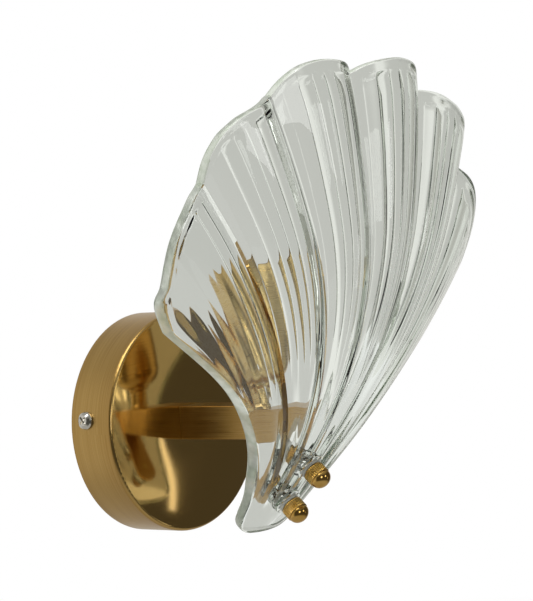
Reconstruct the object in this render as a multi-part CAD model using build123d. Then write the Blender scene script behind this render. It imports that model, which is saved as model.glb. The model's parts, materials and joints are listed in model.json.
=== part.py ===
from build123d import *

import math
import os

# Shell wall sconce, in millimetres. The origin lies on the wall, at the middle of the canopy.
# +Z is up, +X is right for someone who faces the wall, and the lamp stands out along -Y.
# "out" is the distance from the wall, so a point at (x, out, up) lies at Y = -out.

# ---- Canopy ----
CANOPY_RADIUS = 50.0
CANOPY_DEPTH = 24.0          # wall to the front shoulder
CANOPY_DOME = 3.0            # rise of the face inside the shoulder
CANOPY_WALL = 1.2
CANOPY_EDGE = 1.6            # outer radius of the front shoulder
CANOPY_SEAT_RADIUS = 16.0    # flat middle of the face, where the arm stands

# ---- Wall bracket ----
BRACKET_WIDTH = 22.0
BRACKET_THICK = 2.0
BRACKET_FLANGE = 14.0        # height of the bent ends
BRACKET_BEND = 3.0           # outer radius of the bends
BRACKET_TAB = 38.0           # how far the terminal tab reaches up
WALL_SLOT_SPACING = 60.0
WALL_SLOT_LENGTH = 12.0
WALL_SLOT_WIDTH = 4.6
CABLE_HOLE_RADIUS = 8.0

# ---- Screws ----
M4_RADIUS = 2.0
M4_CLEARANCE_HOLE = 2.5
THREAD_GAP = 0.05            # radial gap of a nut or a tapped hole round its screw
SCREW_HEAD_RADIUS = 4.0
SCREW_HEAD_HEIGHT = 2.4
CANOPY_SCREW_LENGTH = 9.0
CANOPY_SCREW_OUT = 9.2       # distance of the side screws from the wall
HEAD_GAP = 0.1               # between a side screw's head and the curved band
EARTH_SCREW_X = -17.0
SCREW_TURN = 7.1             # degrees that the side screws sit round from the arm's level

# ---- Arm ----
ARM_SIDE = 15.0
ARM_WALL = 1.0
PLUG_LENGTH = 12.0

# ---- Hollow threaded tubes (M10 x 1) and their nuts ----
NIPPLE_RADIUS = 5.0
NIPPLE_BORE = 3.5
NIPPLE_GAP = 0.05            # between the tube and what it is screwed into
NIPPLE_HOLE_GAP = 0.2        # between the tube and a plain hole
NUT_THICK = 3.0
NUT_FLATS = 14.0
THIN_NUT_FLATS = 12.0
LOCK_WASHER_THICK = 0.8
LOCK_WASHER_RADIUS = 8.5
NIPPLE_END = 1.5             # how far a tube stands out of its nut
BUSH_WALL = 0.5
BUSH_FLANGE = 1.4
BUSH_SLEEVE = 4.0

# ---- Earth tags ----
TAG_THICK = 0.8
TAG_TONGUE = 10.0            # ring hole to the far end of the crimp barrel
TAG_BARREL = 5.0
TAG_BARREL_WALL = 0.7
TAG_RIM = 2.6
TAG_WIDTH = 3.6

# ---- Glass shell ----
SHELL_REACH = 138.7          # wall to the farthest point of the middle line
SHELL_BELLY_UP = 87.3        # height of that point
LOWER_RADIUS = 128.2         # of the middle line's parabola at that point, for what lies below it
UPPER_RADIUS = 416.7         # and above it
SIDE_RADIUS = 416.7          # of the shell's crosswise parabola, far up
TAB_SIDE_RADIUS = 43.5       # of the parabola that is added to it at the tab
SAG_FADE = 62.0              # height over which the addition fades
TAB_UP = -50.0               # height of the tab
TAB_HALF_WIDTH = 14.5
FAN_UP = -20.8               # height from which the lobes fan out
FAN_SOFTNESS = 23.5
LOBE_ANGLE = 15.4            # degrees between two valleys
LOBES_A_SIDE = 3
LOBE_BULGE_TAB = 1.5
LOBE_BULGE_RIM = 9.5
BULGE_DISTANCE = 160.0       # from the fan's root to where a lobe has its full bulge
GLASS_WALL = 4.6
LAST_LOBE_SPREAD = 1.47       # the outer lobes in lobe widths, with what the rim cuts away
LAST_LOBE_FADE = 40.0        # height above the wing tips over which their slices narrow
SLICE_UPS = (-58.0, -49.0, -38.0, -26.0, -14.0, 0.0, 16.0, 34.0, 54.0, 76.0, 98.0, 120.0, 142.0, 166.0)

# The rim from the middle line outwards: (place, up). A whole place is a valley, and the last is the
# wing's tip.
RIM = (
    (0, 148.8), (0.5, 153.6), (1, 140.6), (1.5, 132.0), (2, 108.3),
    (2.22, 101.5), (2.44, 92.5), (2.82, 71.0), (3.14, 47.5),
)
# The lower edge, from the wing tip down to where the tab's round corner begins: (x, up).
LOWER_EDGE = ((57.1, 17.0), (40.6, -2.0), (29.4, -19.0), (22.1, -34.0), (19.3, -42.6))
TAB_FOOT = (16.5, -60.0)      # where the lower edge would run on to, below the tab's end
TAB_END = 31.0               # along the glass, from halfway between the studs to the tab's end
TAB_CORNER_RADIUS = 10.5
WING_CORNER_RADIUS = 5.0

# ---- What clamps the glass ----
STUD_SPACING = 21.0
STUD_MIDDLE_UP = -27.8       # height, on the glass, of the point halfway between the studs
STUD_HOLE_RADIUS = 3.2
PAD_RADIUS = 6.6             # flat round pads of glass at the holes
PAD_PROUD = 1.2
BUSH_STANDOFF = 5.0          # silicone between glass and bracket
BUSH_RADIUS = 5.6
BUSH_FIT = 0.1
PLATE_WIDTH = 16.0
PLATE_THICK = 2.5
PLATE_TAIL = 9.0             # plate beyond the lower stud
PLATE_HEAD = 40.0            # and beyond the upper one, before it is cut level with the arm's top
WASHER_THICK = 1.2
WASHER_RADIUS = 4.9
WASHER_HOLE_RADIUS = 2.25
BALL_NUT_RADIUS = 5.4
KNURL_LENGTH = 4.2
KNURL_DEPTH = 0.35
KNURL_TEETH = 30
BALL_NUT_GROOVE = 0.3
BALL_NUT_THREAD = 7.0

# ---- Lampholder ----
LAMP_OUT = 72.0              # wall to the lamp's axis
COLLAR_HEIGHT = 12.0
COLLAR_FOOT = 7.2
COLLAR_WAIST = 6.4
CUP_RADIUS = 16.0
CUP_HEIGHT = 52.0
CUP_CORNER = 8.5
CUP_WALL = 1.0
HOLDER_RADIUS = 13.2
HOLDER_MOUTH_RADIUS = 11.5
HOLDER_HEIGHT = 41.5
HOLDER_STEP = 10.0           # length of the narrower mouth
HOLDER_BASE = 6.5            # floor that takes the hollow tube
HOLDER_CAVITY = 9.0
HOLDER_CAVITY_RADIUS = 8.5
HOLDER_PARTITION = 3.0
SHELL_BORE = 7.0             # wall radius of the screw shell, the thread's major radius
SHELL_WALL = 0.4
SHELL_LENGTH = 18.0
SHELL_GAP = 0.05
SHELL_SHOULDER = 4.0         # partition to the screw shell, which the contact stays below
TERMINAL_SIZE = (3.3, 5.0, 6.0)
CONTACT_RADIUS = 4.0

# ---- Terminal block ----
BLOCK_LENGTH = 17.0          # along the wires
BLOCK_PITCH = 10.0
BLOCK_POLES = 2
BLOCK_HEIGHT = 14.0
BLOCK_UP = 14.0              # height of its lower side
BLOCK_BORE = 2.3
INSERT_WALL = 0.7
INSERT_LENGTH = 13.0
TERMINAL_SCREW_RADIUS = 1.4
TERMINAL_SCREW_X = 4.0
BLOCK_SCREW_RADIUS = 1.5

# ---- Leads ----
LEAD_RADIUS = 0.95
LEAD_APART = 1.7             # each lead's distance from the middle of the hollow tube
LEAD_PLANE = 8.0             # distance from the wall at which the leads run in the canopy
EARTH_LOOP_CLEAR = 14.8      # between the earth lead's loop and the band's inside

# ---- Worked out from the sizes above ----
canopy_front = CANOPY_DEPTH + CANOPY_DOME
canopy_seat_inside = canopy_front - CANOPY_WALL
canopy_bore = CANOPY_RADIUS - CANOPY_WALL
flange_x = math.sqrt(canopy_bore**2 - (BRACKET_WIDTH / 2) ** 2) - 0.35
tag_out = canopy_seat_inside - TAG_THICK
lock_washer_out = tag_out - LOCK_WASHER_THICK
nut_out = lock_washer_out - NUT_THICK
nipple_out = nut_out - NIPPLE_END
arm_half = ARM_SIDE / 2
cup_floor_up = arm_half + COLLAR_HEIGHT
holder_up = cup_floor_up + CUP_WALL
cavity_up = holder_up + HOLDER_BASE
partition_up = cavity_up + HOLDER_CAVITY
contact_up = partition_up + HOLDER_PARTITION
thread_up = contact_up + SHELL_SHOULDER
holder_top = holder_up + HOLDER_HEIGHT
lead_end_up = partition_up - TERMINAL_SIZE[2] / 2
block_middle_out = BRACKET_THICK + BLOCK_HEIGHT / 2
far = 3 * SHELL_REACH        # longer than the whole light, for cuts that run past it


def at(x, out, up):
    """The point x to the right, out from the wall and up."""
    return Vector(x, -out, up)


def facing_wall(x, out, up):
    """A plane at a point, with its normal away from the wall and its x to the right."""
    return Plane(origin=at(x, out, up), x_dir=(1, 0, 0), z_dir=(0, -1, 0))


def rod(plane, radius, low, high, x=0.0, y=0.0):
    """A round solid along a plane's normal, from low to high above it."""
    return extrude(plane.offset(low) * Pos(x, y) * Circle(radius), high - low)


def ring(plane, outer, inner, low, high):
    """A tube along a plane's normal."""
    return extrude(plane.offset(low) * (Circle(outer) - Circle(inner)), high - low)


def hexagon(plane, flats, hole, low, high, turn=0.0):
    """A hexagon nut along a plane's normal."""
    outline = Rot(0, 0, turn) * RegularPolygon(flats / 2, 6, major_radius=False) - Circle(hole)
    return extrude(plane.offset(low) * outline, high - low)


def turned(plane, points):
    """A solid turned about a plane's normal, from (radius, height) points."""
    outline = make_face(Polyline(*points, close=True))
    about = Plane(origin=plane.origin, x_dir=plane.x_dir, z_dir=-plane.y_dir)
    return revolve(about * outline, Axis(plane.origin, plane.z_dir))


def cross_recess(plane, top, width=0.9, length=4.4, depth=1.3):
    """The cross cut into a screw head whose top lies at a height above the plane."""
    bars = Rectangle(length, width) + Rectangle(width, length)
    return extrude(plane.offset(top - depth) * Rot(0, 0, 45) * bars, depth + 1)


def pan_screw(plane, length):
    """A pan head screw that stands on the plane and points down through it."""
    crown = 0.35 * SCREW_HEAD_HEIGHT
    head = turned(
        plane,
        (
            (0, 0),
            (SCREW_HEAD_RADIUS, 0),
            (SCREW_HEAD_RADIUS, SCREW_HEAD_HEIGHT - 2 * crown),
            (SCREW_HEAD_RADIUS - 0.4, SCREW_HEAD_HEIGHT - crown),
            (SCREW_HEAD_RADIUS - 1.6, SCREW_HEAD_HEIGHT),
            (0, SCREW_HEAD_HEIGHT),
        ),
    )
    return head + rod(plane, M4_RADIUS, -length, 0) - cross_recess(plane, SCREW_HEAD_HEIGHT)


# ---- Canopy and what fastens it ----
def dished_cup(radius, depth, dome, edge):
    """Solid cup about the Y axis: a straight band, a rounded shoulder, a low dome and a flat middle."""
    flat = CANOPY_SEAT_RADIUS
    run = radius - edge - flat
    dome_radius = (run**2 + dome**2) / (2 * dome)
    half = math.asin(run / dome_radius) / 2
    corner = edge * math.sin(math.radians(45))
    dome_middle = (
        flat + dome_radius * math.sin(half),
        -(depth + dome - dome_radius * (1 - math.cos(half))),
    )
    outline = [
        Line((0, 0), (radius, 0)),
        Line((radius, 0), (radius, edge - depth)),
        ThreePointArc(
            (radius, edge - depth),
            (radius - edge + corner, edge - depth - corner),
            (radius - edge, -depth),
        ),
        ThreePointArc((radius - edge, -depth), dome_middle, (flat, -depth - dome)),
        Line((flat, -depth - dome), (0, -depth - dome)),
        Line((0, -depth - dome), (0, 0)),
    ]
    return revolve(make_face(outline), Axis.Y)


def canopy():
    outside = dished_cup(CANOPY_RADIUS, CANOPY_DEPTH, CANOPY_DOME, CANOPY_EDGE)
    inner_edge = max(CANOPY_EDGE - CANOPY_WALL, 0.2)
    inside = dished_cup(canopy_bore, CANOPY_DEPTH - CANOPY_WALL, CANOPY_DOME, inner_edge)
    centre_hole = rod(facing_wall(0, 0, 0), NIPPLE_RADIUS + NIPPLE_HOLE_GAP, 0, canopy_front + 1)
    made = outside - inside - centre_hole
    for side in (-1, 1):
        made -= rod(side_plane(side), M4_CLEARANCE_HOLE, -CANOPY_RADIUS / 2, 1)
    return made


def side_plane(side):
    """The plane of a side screw's seat: its normal points out of the band, to side -1 or 1."""
    turn = math.radians(SCREW_TURN)
    right, up = side * math.cos(turn), -side * math.sin(turn)
    seat = CANOPY_RADIUS + HEAD_GAP
    return Plane(
        origin=at(seat * right, CANOPY_SCREW_OUT, seat * up),
        x_dir=(0, 1, 0),
        z_dir=(right, 0, up),
    )


def wall_bracket():
    """A strip bent up at both ends and turned with the side screws, with slots that are level for
    the wall and a tab for the terminal block."""
    inner_x = flange_x - BRACKET_THICK
    outline = Polyline(
        (-flange_x, 0),
        (flange_x, 0),
        (flange_x, -BRACKET_FLANGE),
        (inner_x, -BRACKET_FLANGE),
        (inner_x, -BRACKET_THICK),
        (-inner_x, -BRACKET_THICK),
        (-inner_x, -BRACKET_FLANGE),
        (-flange_x, -BRACKET_FLANGE),
        close=True,
    )
    section = make_face(outline)
    outer_bends = [v for v in section.vertices() if abs(v.Y) < 0.01]
    section = fillet(outer_bends, BRACKET_BEND)
    inner_bends = [
        v for v in section.vertices()
        if abs(v.Y + BRACKET_THICK) < 0.01 and abs(abs(v.X) - inner_x) < 0.01
    ]
    section = fillet(inner_bends, BRACKET_BEND - BRACKET_THICK)
    strip = Rot(0, SCREW_TURN, 0) * extrude(section, BRACKET_WIDTH / 2, both=True)
    face = facing_wall(0, 0, 0)
    tab = extrude(
        face * Pos(0, BRACKET_TAB / 2) * RectangleRounded(BRACKET_WIDTH, BRACKET_TAB, 3),
        BRACKET_THICK,
    )
    plate = strip + tab
    for side in (-1, 1):
        slot = Pos(side * WALL_SLOT_SPACING / 2) * SlotOverall(WALL_SLOT_LENGTH, WALL_SLOT_WIDTH)
        plate -= extrude(face * slot, BRACKET_THICK)
    plate -= rod(face, CABLE_HOLE_RADIUS, 0, BRACKET_THICK)
    plate -= rod(face, M4_RADIUS + THREAD_GAP, 0, BRACKET_THICK, x=EARTH_SCREW_X)
    plate -= rod(face, BLOCK_SCREW_RADIUS + THREAD_GAP, 0, BRACKET_THICK, y=block_centre_up())
    for side in (-1, 1):
        reach = CANOPY_RADIUS + HEAD_GAP - inner_x + 1
        plate -= rod(side_plane(side), M4_RADIUS + THREAD_GAP, -reach, 0)
    return plate


def arm_root_plug():
    face = facing_wall(0, canopy_front, 0)
    side = ARM_SIDE - 2 * ARM_WALL
    block = extrude(face * Rectangle(side, side), PLUG_LENGTH)
    return block - rod(face, NIPPLE_RADIUS + NIPPLE_GAP, 0, PLUG_LENGTH)


def arm_nipple():
    return ring(facing_wall(0, 0, 0), NIPPLE_RADIUS, NIPPLE_BORE,
                nipple_out, canopy_front + PLUG_LENGTH - 2)


def nipple_lock_washer():
    """A washer with teeth round its rim that bite into the tag and the nut."""
    face = facing_wall(0, 0, 0)
    washer = ring(face, LOCK_WASHER_RADIUS, NIPPLE_RADIUS + NIPPLE_HOLE_GAP,
                  lock_washer_out, lock_washer_out + LOCK_WASHER_THICK)
    notch = face.offset(lock_washer_out) * Pos(LOCK_WASHER_RADIUS, 0) * Rectangle(2.4, 1.2)
    notches = [Rot(0, angle, 0) * extrude(notch, LOCK_WASHER_THICK) for angle in range(0, 360, 30)]
    return washer - notches


def nipple_nut():
    return hexagon(facing_wall(0, 0, 0), NUT_FLATS, NIPPLE_RADIUS + NIPPLE_GAP,
                   nut_out, nut_out + NUT_THICK)


def nipple_bush():
    """A flanged plastic bush in the mouth of the hollow tube."""
    face = facing_wall(0, nipple_out, 0)
    hole = NIPPLE_BORE - BUSH_WALL
    return (
        ring(face, NIPPLE_RADIUS + 0.6, hole, -BUSH_FLANGE, 0)
        + ring(face, NIPPLE_BORE - NIPPLE_GAP, hole, 0, BUSH_SLEEVE)
    )


def ring_tag(face, hole):
    """A crimp tag: a ring on the face, and a tongue with a barrel that hangs down from it."""
    tongue = hole + TAG_TONGUE
    neck = Pos(0, -tongue / 2) * Rectangle(TAG_WIDTH, tongue)
    sheet = extrude(face * (Circle(hole + TAG_RIM) + neck - Circle(hole)), TAG_THICK)
    end = face.from_local_coords(Vector(0, -tongue, TAG_THICK + LEAD_RADIUS))
    along = Plane(origin=end, x_dir=face.x_dir, z_dir=face.y_dir)
    return sheet + ring(along, LEAD_RADIUS + TAG_BARREL_WALL, LEAD_RADIUS, 0, TAG_BARREL)


def bracket_tag_face():
    return facing_wall(EARTH_SCREW_X, BRACKET_THICK, 0)


def arm_tag_face():
    """The tag on the hollow tube lies against the canopy, so its barrel stands towards the wall."""
    return Plane(origin=at(0, canopy_seat_inside, 0), x_dir=(-1, 0, 0), z_dir=(0, 1, 0))


# ---- Arm and the plate that carries the glass ----
def middle_out(up):
    """Distance from the wall to the shell's outer middle line."""
    radius = LOWER_RADIUS if up < SHELL_BELLY_UP else UPPER_RADIUS
    return SHELL_REACH - (up - SHELL_BELLY_UP) ** 2 / (2 * radius)


def clamp_plane():
    """The plane that touches the glass halfway between the studs. Its normal is the studs' axis,
    out and down, and its y runs up along the middle line."""
    slope = (SHELL_BELLY_UP - STUD_MIDDLE_UP) / LOWER_RADIUS
    lean = math.atan(slope)
    return Plane(
        origin=at(0, middle_out(STUD_MIDDLE_UP), STUD_MIDDLE_UP),
        x_dir=(1, 0, 0),
        z_dir=(0, -math.cos(lean), -math.sin(lean)),
    )


clamp = clamp_plane()
pad_inside = -GLASS_WALL - PAD_PROUD
plate_front = pad_inside - BUSH_STANDOFF
plate_back = plate_front - PLATE_THICK
nut_seat = PAD_PROUD + WASHER_THICK
stud_ys = (STUD_SPACING / 2, -STUD_SPACING / 2)


def arm_tube():
    """A square tube whose front end is cut along the back of the plate."""
    face = facing_wall(0, canopy_front, 0)
    bore = ARM_SIDE - 2 * ARM_WALL
    section = RectangleRounded(ARM_SIDE, ARM_SIDE, 0.6) - Rectangle(bore, bore)
    tube = extrude(face * section, SHELL_REACH - canopy_front)
    beyond = extrude(clamp.offset(plate_back) * Rectangle(far, far), far)
    lamp = lamp_plane(0)
    return tube - beyond - rod(lamp, NIPPLE_RADIUS + NIPPLE_HOLE_GAP, 0, arm_half + 1)


def shell_bracket():
    """A flat plate on the arm's slanted end, level with the arm's top, with the studs' holes."""
    low = -STUD_SPACING / 2 - PLATE_TAIL
    high = STUD_SPACING / 2 + PLATE_HEAD
    outline = Pos(0, (low + high) / 2) * RectangleRounded(PLATE_WIDTH, high - low, PLATE_WIDTH / 2 - 0.5)
    plate = extrude(clamp.offset(plate_back) * outline, PLATE_THICK)
    plate -= Pos(0, 0, arm_half + far / 2) * Box(far, far, far)
    for y in stud_ys:
        plate -= rod(clamp, M4_RADIUS, plate_back, plate_front, y=y)
    return plate


def glass_studs():
    """Two threaded studs, riveted flush in the plate."""
    return [
        rod(clamp, M4_RADIUS, plate_back, nut_seat + BALL_NUT_THREAD - 0.5, y=y) for y in stud_ys
    ]


def glass_bushes():
    """Silicone bushes: a thick flange between plate and glass, and a sleeve in the glass's hole."""
    bushes = []
    for y in stud_ys:
        flange = rod(clamp, BUSH_RADIUS, plate_front, pad_inside, y=y)
        sleeve = rod(clamp, STUD_HOLE_RADIUS - BUSH_FIT, pad_inside, PAD_PROUD - BUSH_FIT, y=y)
        bushes.append(flange + sleeve - rod(clamp, M4_RADIUS + BUSH_FIT, plate_front, PAD_PROUD, y=y))
    return bushes


def front_washer(y):
    washer = rod(clamp, WASHER_RADIUS, PAD_PROUD, nut_seat, y=y)
    return washer - rod(clamp, WASHER_HOLE_RADIUS, PAD_PROUD, nut_seat, y=y)


def ball_nut(y):
    """A nut with a straight-knurled barrel, a groove and a ball end, tapped blind."""
    seat = Plane(
        origin=clamp.from_local_coords(Vector(0, y, nut_seat)),
        x_dir=clamp.x_dir,
        z_dir=clamp.z_dir,
    )
    tooth = math.pi / KNURL_TEETH
    teeth = []
    for number in range(KNURL_TEETH):
        for step, radius in ((0, BALL_NUT_RADIUS), (1, BALL_NUT_RADIUS - KNURL_DEPTH)):
            angle = (2 * number + step) * tooth
            teeth.append((radius * math.cos(angle), radius * math.sin(angle)))
    barrel = extrude(seat * make_face(Polyline(*teeth, close=True)), KNURL_LENGTH)
    edge = 2 * KNURL_DEPTH
    blank = turned(
        seat,
        (
            (0, 0),
            (BALL_NUT_RADIUS - edge, 0),
            (BALL_NUT_RADIUS, edge),
            (BALL_NUT_RADIUS, KNURL_LENGTH - edge),
            (BALL_NUT_RADIUS - edge, KNURL_LENGTH),
            (0, KNURL_LENGTH),
        ),
    )
    neck_radius = BALL_NUT_RADIUS - edge - 0.2
    neck = rod(seat, neck_radius, KNURL_LENGTH - 0.5, KNURL_LENGTH + BALL_NUT_GROOVE + 0.5)
    ball_foot = KNURL_LENGTH + BALL_NUT_GROOVE
    ball_radius = BALL_NUT_RADIUS - 0.1
    ball = Pos(*seat.from_local_coords(Vector(0, 0, ball_foot))) * Sphere(ball_radius)
    below = rod(seat, 2 * BALL_NUT_RADIUS, -BALL_NUT_RADIUS, ball_foot)
    thread = rod(seat, M4_RADIUS + THREAD_GAP, 0, BALL_NUT_THREAD)
    return (barrel & blank) + neck + (ball - below) - thread


# ---- Glass shell ----
def fan_height(up):
    """Distance of a level from the root of the fan: 0 far below it, the rise above it."""
    rise = up - FAN_UP
    return (math.hypot(rise, FAN_SOFTNESS) + rise) / 2


def valley_x(valley, up):
    """Where a valley lies at a level. Valleys are counted from the middle line; between them
    the same count marks a place inside a lobe."""
    tab_x = TAB_HALF_WIDTH * valley / LOBES_A_SIDE
    return tab_x + math.tan(math.radians(LOBE_ANGLE * valley)) * fan_height(up)


def sag(up):
    """How fast the shell falls back sideways at a level, per mm."""
    fade = math.exp((TAB_UP - up) / SAG_FADE)
    return 1 / (2 * SIDE_RADIUS) + fade / (2 * TAB_SIDE_RADIUS)


def valley_out(x, up):
    """Outer surface at the bottom of the valleys."""
    return middle_out(up) - sag(up) * x**2


def bulge(x, up):
    """How far a lobe stands out of the surface that its valleys lie in."""
    share = min(math.hypot(x, up - FAN_UP) / BULGE_DISTANCE, 1.0)
    return LOBE_BULGE_TAB + (LOBE_BULGE_RIM - LOBE_BULGE_TAB) * share**1.5


def wall_depth(x, up):
    """The glass's thickness, measured along the outward direction on a leaning surface."""
    step = 0.5
    slope_x = (valley_out(x + step, up) - valley_out(x - step, up)) / (2 * step)
    slope_up = (valley_out(x, up + step) - valley_out(x, up - step)) / (2 * step)
    return GLASS_WALL * math.sqrt(1 + slope_x**2 + slope_up**2)


def glass_slice(up):
    """A level slice of the shell: an arc for each lobe, outside and inside. The last lobe on each
    side is drawn past the rim, and past less of it the farther the slice lies above the wing tips."""
    last = LOBES_A_SIDE - 1
    past_tip = max(up - RIM[-1][1], 0.0)
    spread = LAST_LOBE_SPREAD / (1 + (past_tip / LAST_LOBE_FADE) ** 2)
    places = [-last - spread, *range(-last, LOBES_A_SIDE), last + spread]

    def lift(place):
        """0 in a valley and 1 in the middle of a lobe."""
        share = (abs(place) - last) / LAST_LOBE_SPREAD if abs(place) > last else place % 1
        return 4 * share * (1 - share)

    def point(place, deep):
        x = valley_x(place, up)
        out = valley_out(x, up) + lift(place) * bulge(x, up) - deep * wall_depth(x, up)
        return at(x, out, up)

    def arcs(deep):
        return [
            ThreePointArc(point(a, deep), point((a + b) / 2, deep), point(b, deep))
            for a, b in zip(places, places[1:])
        ]

    ends = [Line(point(place, 0), point(place, 1)) for place in (places[0], places[-1])]
    return make_face(arcs(0) + arcs(1) + ends)


def shell_outline():
    """The shell as seen from the front: scalloped rim, pointed wings and concave lower edge."""
    rim = [(valley_x(place, up), up) for place, up in RIM]
    right = [
        ThreePointArc(rim[number], rim[number + 1], rim[number + 2])
        for number in range(0, len(rim) - 2, 2)
    ]
    right.append(Spline(rim[-1], *LOWER_EDGE, TAB_FOOT, tangents=((-0.75, -0.6), (-0.1, -1))))
    left = [mirror(edge, Plane.YZ) for edge in right]
    foot_x, foot_up = TAB_FOOT
    bottom = Line((foot_x, foot_up), (-foot_x, foot_up))
    face = make_face(right + left + [bottom])
    tips = [v for v in face.vertices() if abs(abs(v.X) - rim[-1][0]) < 0.01]
    return fillet(tips, WING_CORNER_RADIUS)


def tab_end():
    """What the tab keeps: a prism along the studs whose end is rounded at both corners."""
    end_width = 2 * LOWER_EDGE[-1][0]
    straight = TAB_END - TAB_CORNER_RADIUS
    rounding = RectangleRounded(end_width, 2 * TAB_CORNER_RADIUS, TAB_CORNER_RADIUS - 0.01)
    above = Pos(0, far / 2 - straight) * Rectangle(far, far)
    return extrude(clamp * (Pos(0, -straight) * rounding + above), far / 2, both=True)


def glass_shell():
    body = loft([glass_slice(up) for up in SLICE_UPS])
    upright = Plane(origin=(0, 0, 0), x_dir=(1, 0, 0), z_dir=(0, -1, 0))
    prism = extrude(upright * shell_outline(), far)
    shell = body & prism & tab_end()
    for y in stud_ys:
        shell -= rod(clamp, PAD_RADIUS, pad_inside - 4, PAD_PROUD + 4, y=y)
    for y in stud_ys:
        shell += rod(clamp, PAD_RADIUS, pad_inside, PAD_PROUD, y=y)
    for y in stud_ys:
        shell -= rod(clamp, STUD_HOLE_RADIUS, pad_inside, PAD_PROUD, y=y)
    return shell


# ---- Lampholder ----
def lamp_plane(up):
    """The level plane at a height on the lamp's axis."""
    return Plane(origin=at(0, LAMP_OUT, up), x_dir=(1, 0, 0), z_dir=(0, 0, 1))


def holder_nipple():
    low = arm_half - ARM_WALL - NUT_THICK - 1
    return ring(lamp_plane(0), NIPPLE_RADIUS, NIPPLE_BORE, low, cavity_up)


def holder_nipple_nut():
    top = arm_half - ARM_WALL
    return hexagon(lamp_plane(0), THIN_NUT_FLATS, NIPPLE_RADIUS + NIPPLE_GAP, top - NUT_THICK, top, 30)


def lampholder_collar():
    top = COLLAR_HEIGHT
    body = turned(
        lamp_plane(arm_half),
        (
            (0, 0),
            (COLLAR_FOOT, 0),
            (COLLAR_FOOT, 1.2),
            (COLLAR_WAIST, 2.4),
            (COLLAR_WAIST, top - 2.4),
            (COLLAR_FOOT + 1, top - 1),
            (COLLAR_FOOT + 1, top),
            (0, top),
        ),
    )
    return body - rod(lamp_plane(arm_half), NIPPLE_RADIUS + NIPPLE_HOLE_GAP, 0, top)


def round_cup(radius, height, corner):
    """A solid cup on the lamp's axis with a large bottom radius."""
    body = rod(lamp_plane(0), radius, 0, height)
    return fillet(body.edges().group_by(Axis.Z)[0], corner)


def lampholder_cup():
    outside = round_cup(CUP_RADIUS, CUP_HEIGHT, CUP_CORNER)
    inside = Pos(0, 0, CUP_WALL) * round_cup(CUP_RADIUS - CUP_WALL, CUP_HEIGHT, CUP_CORNER - CUP_WALL)
    hole = rod(lamp_plane(0), NIPPLE_RADIUS + NIPPLE_HOLE_GAP, 0, CUP_WALL)
    return Pos(0, 0, cup_floor_up) * (outside - inside - hole)


def holder_body():
    """The insulating body: a threaded foot, a cavity for the terminals, a partition and the mouth."""
    base = lamp_plane(holder_up)
    foot = CUP_RADIUS - CUP_CORNER
    neck = HOLDER_HEIGHT - HOLDER_STEP
    body = turned(
        base,
        (
            (0, 0),
            (foot, 0),
            (HOLDER_RADIUS, HOLDER_BASE + 3),
            (HOLDER_RADIUS, neck),
            (HOLDER_MOUTH_RADIUS, neck + 1),
            (HOLDER_MOUTH_RADIUS, HOLDER_HEIGHT),
            (0, HOLDER_HEIGHT),
        ),
    )
    axis = lamp_plane(0)
    body -= rod(axis, NIPPLE_RADIUS + NIPPLE_GAP, holder_up, cavity_up)
    body -= rod(axis, HOLDER_CAVITY_RADIUS, cavity_up, partition_up)
    body -= rod(axis, SHELL_BORE - 0.6, contact_up, thread_up)
    body -= rod(axis, SHELL_BORE + SHELL_WALL + SHELL_GAP, thread_up, holder_top)
    return body


def thread_shell():
    return ring(lamp_plane(0), SHELL_BORE + SHELL_WALL, SHELL_BORE, thread_up, thread_up + SHELL_LENGTH)


def centre_contact():
    """A sprung tongue on the partition, bent up towards the lamp's cap."""
    thick = 0.4
    base = lamp_plane(contact_up)
    foot = extrude(base * Circle(CONTACT_RADIUS), thick)
    side = Plane(origin=at(0, LAMP_OUT, contact_up), x_dir=(0, 1, 0), z_dir=(1, 0, 0))
    strip = Polyline((-3, 0), (-3 + thick, 0), (1.6, 3.2), (2.8, 2.6), (2.8 + thick, 2.8),
                     (1.6, 3.2 + thick), (-3, thick), close=True)
    return foot + extrude(side * make_face(strip), 1.6, both=True)


def holder_terminals():
    """Two brass blocks under the partition, one for each lead."""
    wide, deep, high = TERMINAL_SIZE
    blocks = []
    for side in (-1, 1):
        block = Pos(side * (LEAD_APART + 0.05), -LAMP_OUT, partition_up - high / 2) * Box(wide, deep, high)
        hole = rod(lamp_plane(0), LEAD_RADIUS + 0.03, partition_up - high, lead_end_up, x=side * LEAD_APART)
        blocks.append(block - hole)
    return blocks


# ---- Terminal block ----
def block_centre_up():
    return BLOCK_UP + BLOCK_POLES * BLOCK_PITCH / 2


def pole_ups():
    return [BLOCK_UP + BLOCK_PITCH * (number + 0.5) for number in range(BLOCK_POLES)]


def wire_plane(up):
    """The plane across a pole's bore; its normal points right, along the wire."""
    return Plane(origin=at(0, block_middle_out, up), x_dir=(0, 0, 1), z_dir=(1, 0, 0))


def terminal_block():
    face = facing_wall(0, BRACKET_THICK, 0)
    high = BLOCK_POLES * BLOCK_PITCH
    outline = Pos(0, block_centre_up()) * RectangleRounded(BLOCK_LENGTH, high, 1.2)
    block = extrude(face * outline, BLOCK_HEIGHT)
    block -= rod(face, BLOCK_SCREW_RADIUS + 0.3, 0, BLOCK_HEIGHT, y=block_centre_up())
    block -= rod(face, 2 * BLOCK_SCREW_RADIUS + 0.2, 3, BLOCK_HEIGHT, y=block_centre_up())
    for up in pole_ups():
        block -= rod(wire_plane(up), BLOCK_BORE, -BLOCK_LENGTH, BLOCK_LENGTH)
        for side in (-1, 1):
            block -= rod(face, TERMINAL_SCREW_RADIUS + 0.2, BLOCK_HEIGHT / 2, BLOCK_HEIGHT,
                         x=side * TERMINAL_SCREW_X, y=up)
    return block


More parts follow.
